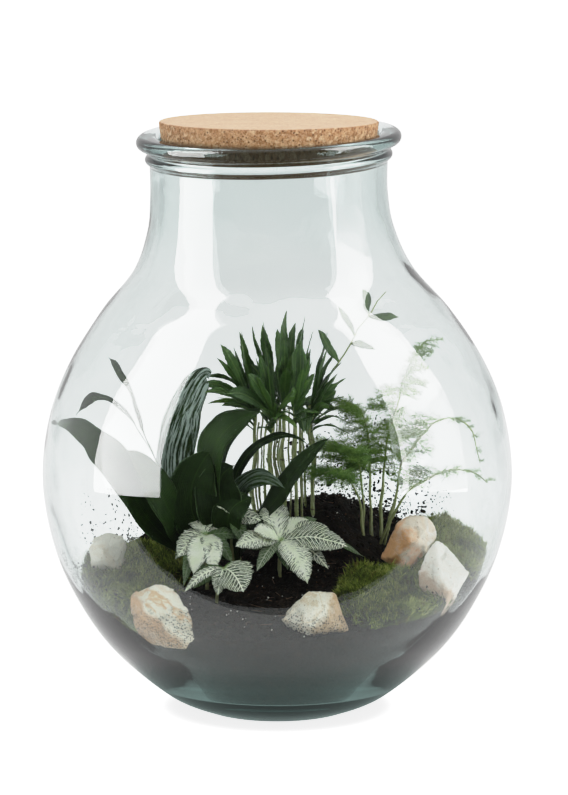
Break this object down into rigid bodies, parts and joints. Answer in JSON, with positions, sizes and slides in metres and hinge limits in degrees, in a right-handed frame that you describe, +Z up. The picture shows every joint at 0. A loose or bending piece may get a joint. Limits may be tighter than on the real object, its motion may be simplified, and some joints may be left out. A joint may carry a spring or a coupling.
{
  "type": "glass plant terrarium",
  "caption": "Round blown-glass jar with a wide neck and cork stopper, planted with palm, dracaena, fittonia and asparagus fern in soil with moss and stones.",
  "frame": {"origin": "centre of the jar's flat foot, on the surface it stands on", "axes": "+Z up along the jar's axis, -Y towards the planted front, +X to the right of the front"},
  "size_m": [0.3474, 0.3474, 0.4405],
  "materials": {
    "glass": "clear with a green tint where thick",
    "cork": "pressed granules, matte",
    "soil": "loose, matte",
    "moss": "dense and matte",
    "stone": "rough, banded tan and cream",
    "palm_leaf": "satin",
    "dracaena_leaf": "semi-gloss",
    "fittonia_leaf": "satin, pale net of veins",
    "fern_leaf": "satin"
  },
  "bodies": {
    "root": {"cork_stopper": "cork", "dracaena_left": "dracaena_leaf", "dracaena_right": "dracaena_leaf", "fern_stem_arch": "fern_leaf", "fern_stem_high_left": "fern_leaf", "fern_stem_low_left": "fern_leaf", "fern_stem_low_right": "fern_leaf", "fern_stem_mid_left": "fern_leaf", "fern_stem_tall": "fern_leaf", "fittonia_back": "fittonia_leaf", "fittonia_front": "fittonia_leaf", "fittonia_left": "fittonia_leaf", "fittonia_right": "fittonia_leaf", "glass_jar": "glass", "moss_back_right": "moss", "moss_front_right": "moss", "moss_left": "moss", "palm_inner_1": "palm_leaf", "palm_inner_2": "palm_leaf", "palm_inner_3": "palm_leaf", "palm_inner_4": "palm_leaf", "palm_outer_1": "palm_leaf", "palm_outer_2": "palm_leaf", "palm_outer_3": "palm_leaf", "palm_outer_4": "palm_leaf", "palm_outer_5": "palm_leaf", "palm_outer_6": "palm_leaf", "palm_outer_7": "palm_leaf", "palm_outer_8": "palm_leaf", "potting_soil": "soil", "stone_front_centre": "stone", "stone_front_left": "stone", "stone_left_back": "stone", "stone_right_pale": "stone", "stone_right_rust": "stone"}
  },
  "joints": []
}
